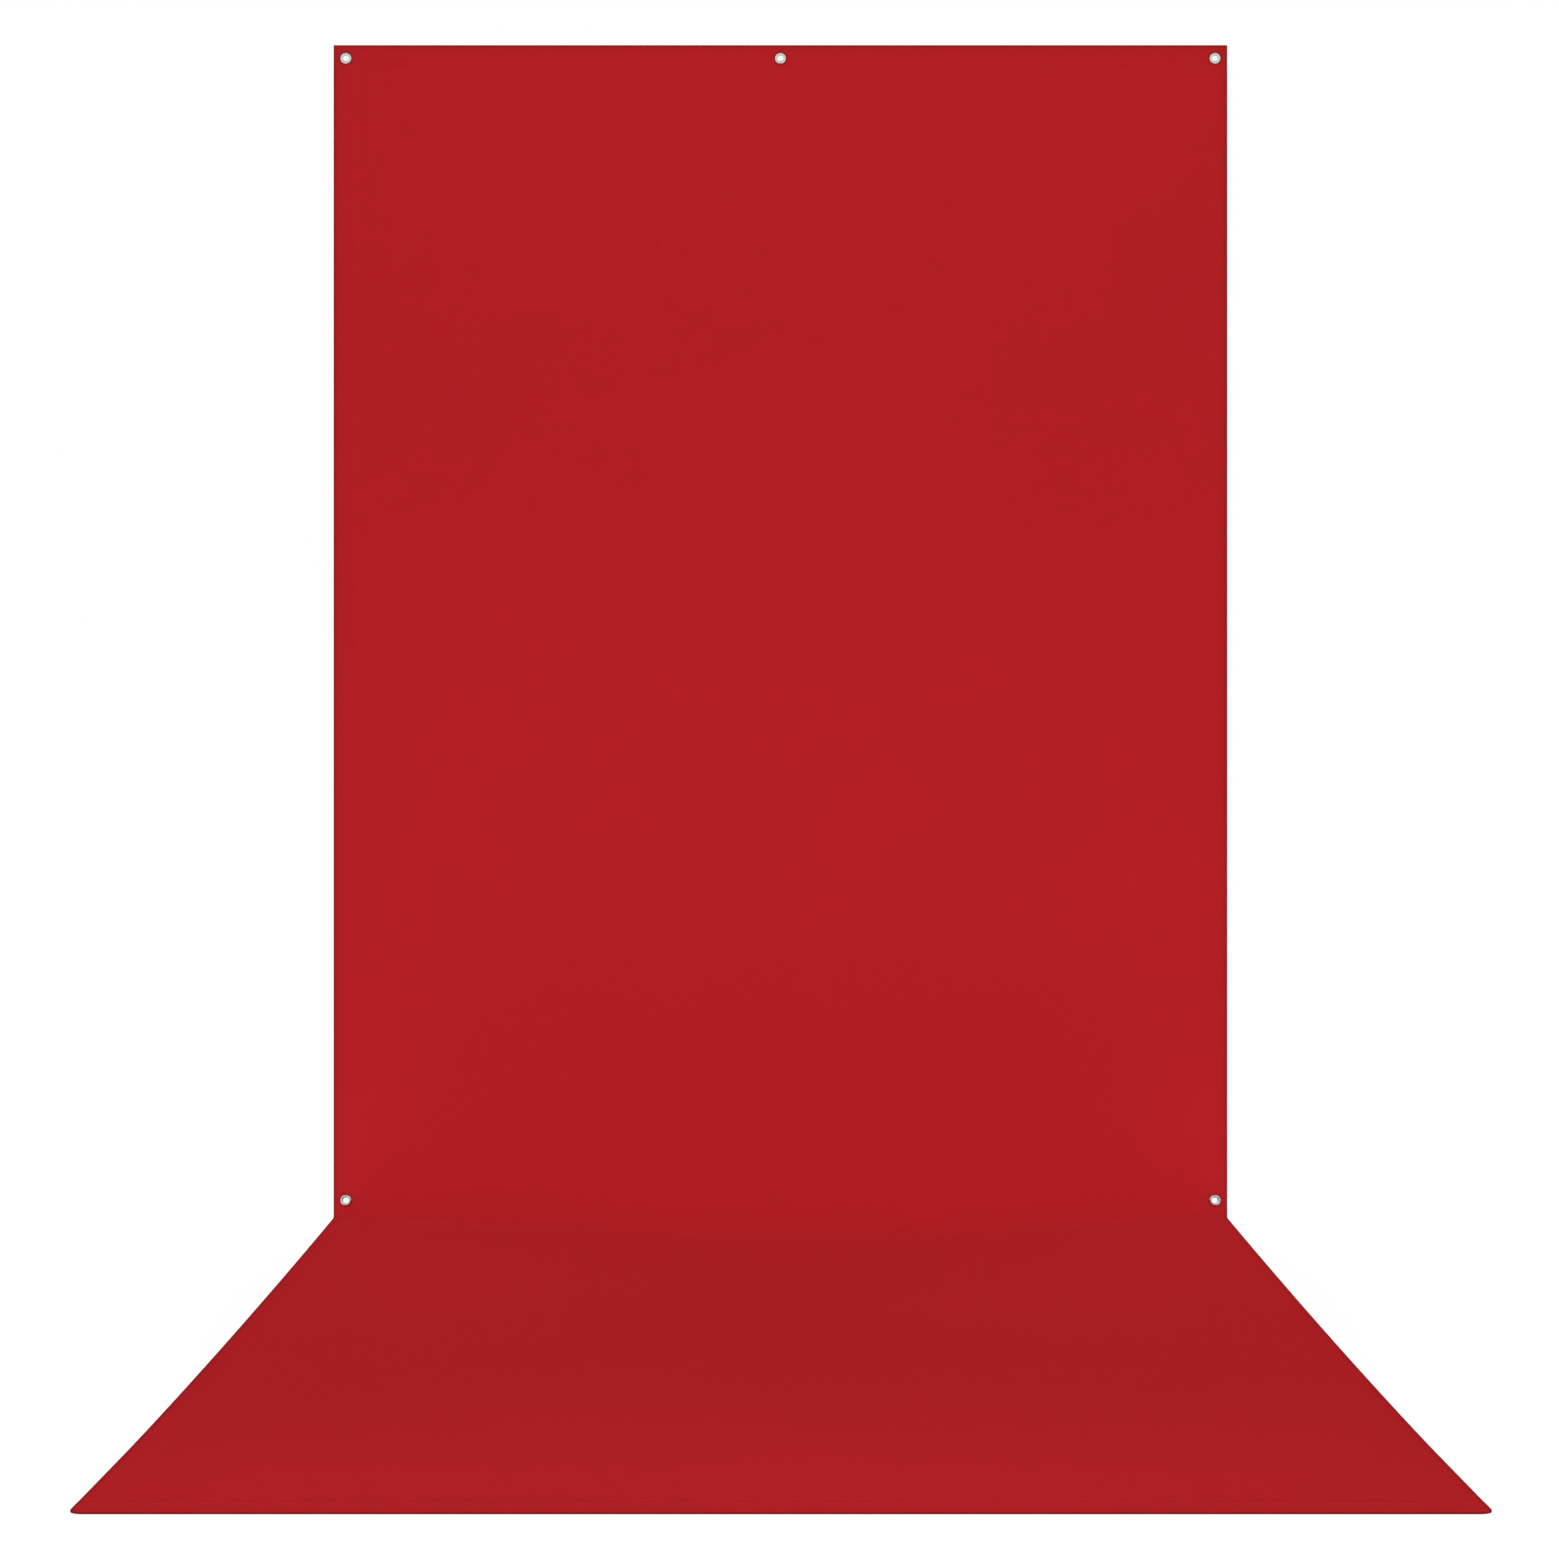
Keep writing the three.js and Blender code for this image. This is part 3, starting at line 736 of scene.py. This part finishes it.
def thicken(quads, count):
    """Faces of a closed skin: the quads in front, again behind, and walls along every free edge."""
    quads = [tuple(int(i) for i in q) for q in quads]
    edges = {(q[k], q[(k + 1) % 4]) for q in quads for k in range(4)}
    walls = [(b, a, a + count, b + count) for a, b in sorted(edges) if (b, a) not in edges]
    behind = [tuple(i + count for i in reversed(q)) for q in quads]
    return quads + behind + walls


def make_sheet():
    points, quads = sheet_grid()
    points[:, 0] = true_up_sides(points[:, 0], points[:, 1])
    points[:, 0], points[:, 1] = round_front_corners(points[:, 0], points[:, 1])
    places = []
    for side in (1, -1):
        skin = points[:, :3] + side * THICKNESS / 2 * points[:, 3:]
        places.append(lay(skin[:, 0], skin[:, 1], skin[:, 2]))
    flat = np.tile(points[:, :2], (2, 1))
    replaced = ["backdrop_cloth", "top_hem", "left_hem", "right_hem", "front_hem"]
    faces = thicken(quads, len(points))
    sheet = make_piece("backdrop_sheet", np.concatenate(places), faces, "cloth", replaced, flat)
    set_attribute(sheet, "edge", edge_distance(flat[:, 0], flat[:, 1]))
    return sheet


sheet = make_sheet()

# ---------------------------------------------------------------- stitches

STITCH_PITCH = 5 * MM
PATCH_STITCH_PITCH = 2.8 * MM
STITCH_SHARE = 0.86  # of the pitch that shows; the rest is where the thread dives through
STITCH_RADIUS = 0.24 * MM
STITCH_ALONG = np.array([-1, -0.6, 0, 0.6, 1])
STITCH_GIRTH = np.array([0.35, 0.85, 1, 0.85, 0.35])
STITCH_LIFT = np.array([-0.9, 0.1, 0.45, 0.1, -0.9])  # of the radius, above the cloth's surface
STITCH_SIDES = 6
STITCH_WANDER = 0.04 * MM  # how far a stitch may typically lie off its row
STITCH_UNEVEN = 0.02  # typical share by which its length differs
STITCH_SLANT = 0.025
CROSS_END_INSET = 2.5 * MM  # from the side edges to the ends of the rows along the top and the front
FRONT_OUT = THICKNESS / 2
HEM_BACK_OUT = HEM_OUT - THICKNESS / 2
PATCH_BACK_OUT = DROP_Y - patch_high.y

rng = np.random.default_rng(12)


def stitch_row(start, end, pitch, out):
    """Stitches along a straight line of the sheet, as points, places in the flat and one stitch's faces.
    out is the surface that they lie on. They stand to its front if it is positive and else to its back."""
    start, end = np.array(start), np.array(end)
    length = np.hypot(*(end - start))
    count = max(1, round(length / pitch))
    along = (end - start) / length
    aside = np.array([-along[1], along[0]])
    side = 1 if out > 0 else -1
    middles = start + np.outer((np.arange(count) + 0.5) / count, end - start)
    middles = middles + np.outer(rng.normal(0, STITCH_WANDER, count), aside)
    half = length / count / 2 * STITCH_SHARE * rng.normal(1, STITCH_UNEVEN, count)
    slant = rng.normal(0, STITCH_SLANT, count)
    turn = np.arange(STITCH_SIDES) / STITCH_SIDES * 2 * np.pi

    reach = half[:, None, None] * STITCH_ALONG[None, :, None]
    girth = STITCH_RADIUS * STITCH_GIRTH[None, :, None]
    sideways = girth * np.cos(turn) + reach * slant[:, None, None]
    lift = STITCH_RADIUS * STITCH_LIFT[None, :, None] + girth * np.sin(turn)
    reach, sideways, lift = np.broadcast_arrays(reach, sideways, lift)
    across = middles[:, 0, None, None] + reach * along[0] + sideways * aside[0]
    down = middles[:, 1, None, None] + reach * along[1] + sideways * aside[1]
    points = lay(across, down, out + side * lift)
    points[..., 2] = np.maximum(points[..., 2], 0)  # pressed flat where the cloth lies on the floor

    rings, sides = len(STITCH_ALONG), STITCH_SIDES
    faces = []
    for r in range(rings - 1):
        for s in range(sides):
            t = (s + 1) % sides
            faces.append([r * sides + s, r * sides + t, (r + 1) * sides + t, (r + 1) * sides + s])
    faces.append(list(range(sides))[::-1])
    faces.append([(rings - 1) * sides + s for s in range(sides)])
    if side > 0:
        faces = [f[::-1] for f in faces]
    flat = np.stack([reach + middles[:, :1, None], girth * np.broadcast_to(turn, reach.shape)], -1)
    return points.reshape(count, -1, 3), flat.reshape(count, -1, 2), faces


def make_stitches(name, rows, replaced):
    """One piece of thread from several rows of stitches."""
    points, flat, faces, used = [], [], [], 0
    for row in rows:
        row_points, row_flat, one_stitch = stitch_row(*row)
        for k in range(len(row_points)):
            faces += [[used + i for i in f] for f in one_stitch]
            used += row_points.shape[1]
        points.append(row_points.reshape(-1, 3))
        flat.append(row_flat.reshape(-1, 2))
    return make_piece(name, np.concatenate(points), faces, "thread", replaced, np.concatenate(flat))


def hem_stitches():
    """The rows that hold the four hems down, each on the face and on the back of its hem."""
    inner = HALF_WIDTH - STITCH_INSET
    cross_end = HALF_WIDTH - CROSS_END_INSET
    low = SHEET_LENGTH - STITCH_INSET
    lines = {
        "top": ((-cross_end, STITCH_INSET), (cross_end, STITCH_INSET)),
        "front": ((-cross_end, low), (cross_end, low)),
        "left": ((-inner, STITCH_INSET), (-inner, low)),
        "right": ((inner, STITCH_INSET), (inner, low)),
    }
    threads = []
    for name, (start, end) in lines.items():
        rows = [(start, end, STITCH_PITCH, out) for out in (FRONT_OUT, HEM_BACK_OUT)]
        threads.append(make_stitches(name + "_hem_stitches", rows, [name + "_hem_thread"]))
    return threads


def patch_stitches(name):
    """The box of stitches round one grommet, on the face of the cloth and on the back of the patch."""
    centre = np.array([grommet_centre(name).x, grommet_down(name)])
    half = PATCH_STITCH_HALF - STITCH_RADIUS
    corners = [centre + half * np.array(c) for c in ((-1, -1), (1, -1), (1, 1), (-1, 1))]
    sides = list(zip(corners, corners[1:] + corners[:1]))
    rows = [(a, b, PATCH_STITCH_PITCH, out) for out in (FRONT_OUT, PATCH_BACK_OUT) for a, b in sides]
    return make_stitches(name + "_patch_stitches", rows, [name + "_patch_thread"])


# ---------------------------------------------------------------- patches and grommets

TURN_STEPS = 96


def ring_mesh(sections):
    """Points and faces of a closed ring, from one closed section at each step round it."""
    steps, count = sections.shape[:2]
    faces = []
    for i in range(steps):
        for j in range(count):
            a, b = (i + 1) % steps, (j + 1) % count
            faces.append([i * count + j, a * count + j, a * count + b, i * count + b])
    return sections.reshape(-1, 3), faces


def turned_piece(name, centre, section, slot, replaced, radius_at=None):
    """A ring about an axis along Y. The section is a clockwise loop of radius and out. Where radius_at is
    given, the section has a share of the way to the outline instead of a radius, which radius_at finds."""
    section = np.asarray(section, float)
    angles = np.arange(TURN_STEPS) / TURN_STEPS * 2 * np.pi
    radius = np.broadcast_to(section[None, :, 0], (TURN_STEPS, len(section)))
    if radius_at is not None:
        radius = radius_at(angles[:, None], radius)
    out = np.broadcast_to(section[None, :, 1], radius.shape)
    x = centre.x + radius * np.sin(angles)[:, None]
    z = centre.z + radius * np.cos(angles)[:, None]
    points, faces = ring_mesh(np.stack([x, DROP_Y - out, z], -1))
    along = np.concatenate([[0], np.cumsum(np.hypot(*np.diff(section, axis=0).T))])
    if radius_at is None:
        girth = np.broadcast_to((angles * section[:, 0].max())[:, None], radius.shape)
        flat = np.stack([girth, np.broadcast_to(along, radius.shape)], -1)
    else:
        flat = np.stack([x, z], -1)
    return make_piece(name, points, faces, slot, replaced, flat.reshape(-1, 2))


def half_ellipse(radius_a, radius_b, out, lift, steps):
    """Points over a half ellipse from one radius to another, at a level out. lift is its height, signed."""
    middle, half = (radius_a + radius_b) / 2, (radius_b - radius_a) / 2
    angles = np.linspace(0, np.pi, steps + 1)
    return [(middle - half * np.cos(a), out + lift * np.sin(a)) for a in angles]


BORE_RADIUS = 5 * MM
BARREL_RADIUS = 5.5 * MM
CRIMP_RADIUS = 6.9 * MM
METAL_WALL = 0.3 * MM
SEAT_GAP = 0.1 * MM  # between pieces that lie on each other
FLANGE_SEAT = FRONT_OUT + SEAT_GAP
FLANGE_TOP = DROP_Y - eyelet_low.y
WASHER_FRONT = DROP_Y - washer_low.y
WASHER_BACK = DROP_Y - washer_high.y
CRIMP_SEAT = WASHER_BACK - SEAT_GAP
CRIMP_TOP = DROP_Y - eyelet_high.y
PATCH_FRONT = DROP_Y - patch_low.y
DOME_STEPS = 30
ROLL_STEPS = 18
BARREL_STEPS = 4

WASHER_CLEARANCE = 0.3 * MM  # round the barrel
WASHER_RIM = 0.3 * MM
GROOVE_DEPTH = 0.12 * MM
GROOVE_WIDTH = 0.3 * MM
GROOVE_RADIUS = CRIMP_RADIUS + 0.5 * MM

SQUARENESS = 16  # power of the rounded square that the patch's outline is
PATCH_EDGE = 0.45 * MM
EDGE_TURN = 1.2  # radians from the middle of the patch's edge to its front and back


def make_eyelet(name):
    """Domed flange with a rolled rim, barrel, and the barrel's end crimped outwards over the washer."""
    height = FLANGE_TOP - FLANGE_SEAT
    dome = half_ellipse(BORE_RADIUS, FLANGE_RADIUS, FLANGE_SEAT, height, DOME_STEPS)
    rolled_rim = FLANGE_RADIUS - METAL_WALL
    under = half_ellipse(BARREL_RADIUS, rolled_rim, FLANGE_SEAT, height - METAL_WALL, ROLL_STEPS)
    crimp = half_ellipse(CRIMP_RADIUS, BORE_RADIUS, CRIMP_SEAT, CRIMP_TOP - CRIMP_SEAT, ROLL_STEPS)
    steps = np.arange(1, BARREL_STEPS + 1) / BARREL_STEPS
    barrel = [(BARREL_RADIUS, CRIMP_SEAT * t + FLANGE_SEAT * (1 - t)) for t in steps]
    bore = [(BORE_RADIUS, CRIMP_SEAT * (1 - t) + FLANGE_SEAT * t) for t in steps[:-1]]
    section = dome + under[::-1] + barrel + crimp + bore
    replaced = [name + "_eyelet"]
    return turned_piece(name + "_grommet_eyelet", grommet_centre(name), section, "grommet_metal", replaced)


def make_washer(name):
    """A pressed ring with a shallow groove for the crimp and a rounded rim."""
    inner = BARREL_RADIUS + WASHER_CLEARANCE
    rim_centre = FLANGE_RADIUS - WASHER_RIM
    middle = (WASHER_FRONT + WASHER_BACK) / 2
    half = (WASHER_FRONT - WASHER_BACK) / 2
    halfway = ((inner + FLANGE_RADIUS) / 2, WASHER_FRONT)
    section = [(inner, WASHER_BACK), (inner, WASHER_FRONT), halfway]
    for a in np.linspace(np.pi / 2, -np.pi / 2, 13):
        section.append((rim_centre + WASHER_RIM * np.cos(a), middle + half * np.sin(a)))
    for radius in np.linspace(rim_centre, inner, 14)[1:-1]:
        dip = GROOVE_DEPTH * np.exp(-(((radius - GROOVE_RADIUS) / GROOVE_WIDTH) ** 2))
        section.append((radius, WASHER_BACK + dip))
    replaced = [name + "_washer"]
    return turned_piece(name + "_grommet_washer", grommet_centre(name), section, "grommet_metal", replaced)


def make_patch(name):
    """A square of webbing with softened edges and a hole for the barrel."""
    middle = (PATCH_FRONT + PATCH_BACK_OUT) / 2
    half = (PATCH_FRONT - PATCH_BACK_OUT) / 2
    shares = np.linspace(0, 1, 9)
    front = [(s, middle + half) for s in shares]
    turns = np.linspace(EDGE_TURN, -EDGE_TURN, 7)
    rim = [(1 + PATCH_EDGE / PATCH_HALF * np.cos(a), middle + half * np.sin(a)) for a in turns]
    back = [(s, middle - half) for s in shares[::-1]]

    def radius_at(angle, share):
        corner = np.abs(np.sin(angle)) ** SQUARENESS + np.abs(np.cos(angle)) ** SQUARENESS
        outline = (PATCH_HALF - PATCH_EDGE) / corner ** (1 / SQUARENESS)
        return HOLE_RADIUS + (outline - HOLE_RADIUS) * share

    section = front + rim + back
    replaced = [name + "_patch"]
    return turned_piece(name + "_webbing_patch", grommet_centre(name), section, "patch", replaced, radius_at)


fittings = hem_stitches()
for grommet in GROMMETS:
    fittings += [make_patch(grommet), patch_stitches(grommet)]
    fittings += [make_eyelet(grommet), make_washer(grommet)]

# ---------------------------------------------------------------- stage, light and camera

STUDIO_FLOOR_HALF = 14
FLOOR_DROP = 0.2 * MM  # below the part, so that the two don't flicker
CAMERA_HEIGHT = 0.784
CAMERA_DISTANCE = 4.431  # from the drop
CAMERA_ASIDE = -1.6 * MM
LENS = 60
SENSOR_WIDTH = 36


def make_floor():
    """A pale floor that glows a little, so that it looks as white as the air round it."""
    floor = new_floor("studio_floor", STUDIO_FLOOR_HALF)
    floor.location.z = -FLOOR_DROP
    material, _, shader = new_material("white_floor", Roughness=0.9, Specular_IOR_Level=0)
    shader.inputs["Base Color"].default_value = (0.15, 0.15, 0.15, 1)
    shader.inputs["Emission Color"].default_value = (1, 1, 1, 1)
    shader.inputs["Emission Strength"].default_value = 0.9
    floor.data.materials.append(material)


def make_softbox(name, place, target, size, power, spread):
    """A flat lamp of a width and height, with a grid that keeps its light within the spread. The metal
    mirrors the white room and not the lamp."""
    light = bpy.data.lights.new(name, "AREA")
    light.shape = "RECTANGLE"
    light.size, light.size_y = size
    light.energy = power
    light.spread = math.radians(spread)
    lamp = bpy.data.objects.new(name, light)
    bpy.context.scene.collection.objects.link(lamp)
    lamp.location = place
    lamp.rotation_euler = (Vector(target) - Vector(place)).to_track_quat("-Z", "Y").to_euler()
    lamp.visible_camera = False
    lamp.visible_glossy = False


def make_lights():
    """Strips even out the drop, whose foot the sweep would darken. One lamp brightens the front of the
    sweep, and one the back of the cloth."""
    low, high, behind = (0, -5, 0.35), (0, -5, 2.4), (0, 6, 1.5)
    make_softbox("low_strip", low, (0, DROP_Y, 0.1), size=(3, 0.4), power=6, spread=30)
    make_softbox("foot_strip", (0, -5, 0.25), (0, DROP_Y, 0.05), size=(3, 0.15), power=0.33, spread=6)
    make_softbox("high_strip", high, (0, DROP_Y, 2), size=(3, 0.5), power=0.7, spread=24)
    make_softbox("high_fill", high, (0, DROP_Y, 1.7), size=(3, 0.5), power=7.2, spread=45)
    make_softbox("front_lamp", (0, -1.3, 2.4), (0, -1.1, 0), size=(2.4, 0.4), power=1.64, spread=45)
    make_softbox("back_fill", behind, (0, DROP_Y, 1), size=(3, 2), power=42, spread=120)


def make_world():
    """White walls under a greyer ceiling."""
    world = bpy.data.worlds.new("studio_white")
    world.use_nodes = True
    tree = world.node_tree
    background = tree.nodes["Background"]
    background.inputs["Color"].default_value = (1, 1, 1, 1)
    direction = add_node(tree, "ShaderNodeTexCoord").outputs["Generated"]
    up = add_node(tree, "ShaderNodeSeparateXYZ", {"Vector": direction}).outputs["Z"]
    inputs = {"Value": up, "From Min": 0.6, "From Max": 0.95, "To Min": 1.0, "To Max": 0.26}
    fade = add_node(tree, "ShaderNodeMapRange", inputs, interpolation_type="SMOOTHSTEP")
    tree.links.new(fade.outputs["Result"], background.inputs["Strength"])
    bpy.context.scene.world = world


def make_camera():
    """A level camera that faces the drop."""
    camera = bpy.data.objects.new("camera", bpy.data.cameras.new("camera"))
    bpy.context.scene.collection.objects.link(camera)
    camera.data.sensor_width = SENSOR_WIDTH
    camera.data.lens = LENS
    camera.data.clip_end = 100
    camera.location = (CAMERA_ASIDE, DROP_Y - CAMERA_DISTANCE, CAMERA_HEIGHT)
    camera.rotation_euler = (math.pi / 2, 0, 0)
    bpy.context.scene.camera = camera


make_floor()
make_world()
make_lights()
make_camera()
bpy.context.scene.view_settings.view_transform = "Standard"
